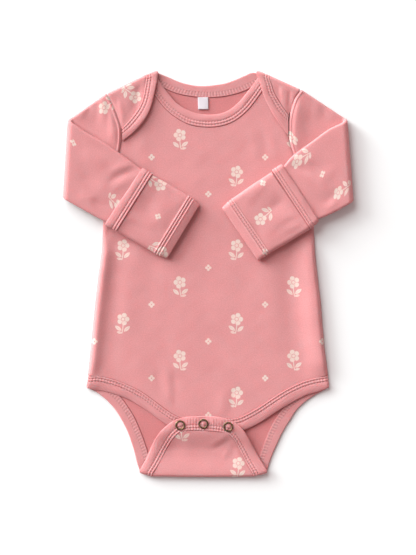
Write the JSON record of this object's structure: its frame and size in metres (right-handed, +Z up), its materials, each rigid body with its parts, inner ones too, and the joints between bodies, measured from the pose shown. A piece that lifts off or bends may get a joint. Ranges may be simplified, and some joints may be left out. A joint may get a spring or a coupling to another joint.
{
  "type": "baby onesie laid flat",
  "caption": "Long-sleeved baby bodysuit laid flat: lap shoulders, bound neck and legs, sleeves folded on the chest, turned-back mitten cuffs, snap crotch flap.",
  "frame": {"origin": "centre of the garment's box on the surface that it lies on", "axes": "+X to the right as seen from above, +Y toward the neck, +Z up out of the surface, front of the garment up"},
  "size_m": [0.2756, 0.3867, 0.0127],
  "materials": {
    "jersey": "matte cotton jersey with a small cream print",
    "rib": "matte fine rib, plain",
    "label_tape": "satin tape, blank",
    "snap_metal": "antique brass, dark, worn at the rim"
  },
  "bodies": {
    "root": {"back_panel": "jersey", "front_panel": "jersey", "sleeve_left": "jersey", "sleeve_right": "jersey", "mitten_left": "jersey", "mitten_right": "jersey", "cuff_band_left": "rib", "cuff_band_right": "rib", "neck_binding_back": "rib", "neck_binding_front": "rib", "leg_binding": "rib", "label": "label_tape", "snap_left_cap": "snap_metal", "snap_left_socket": "snap_metal", "snap_left_stud": "snap_metal", "snap_left_back": "snap_metal", "snap_middle_cap": "snap_metal", "snap_middle_socket": "snap_metal", "snap_middle_stud": "snap_metal", "snap_middle_back": "snap_metal", "snap_right_cap": "snap_metal", "snap_right_socket": "snap_metal", "snap_right_stud": "snap_metal", "snap_right_back": "snap_metal"}
  },
  "joints": []
}
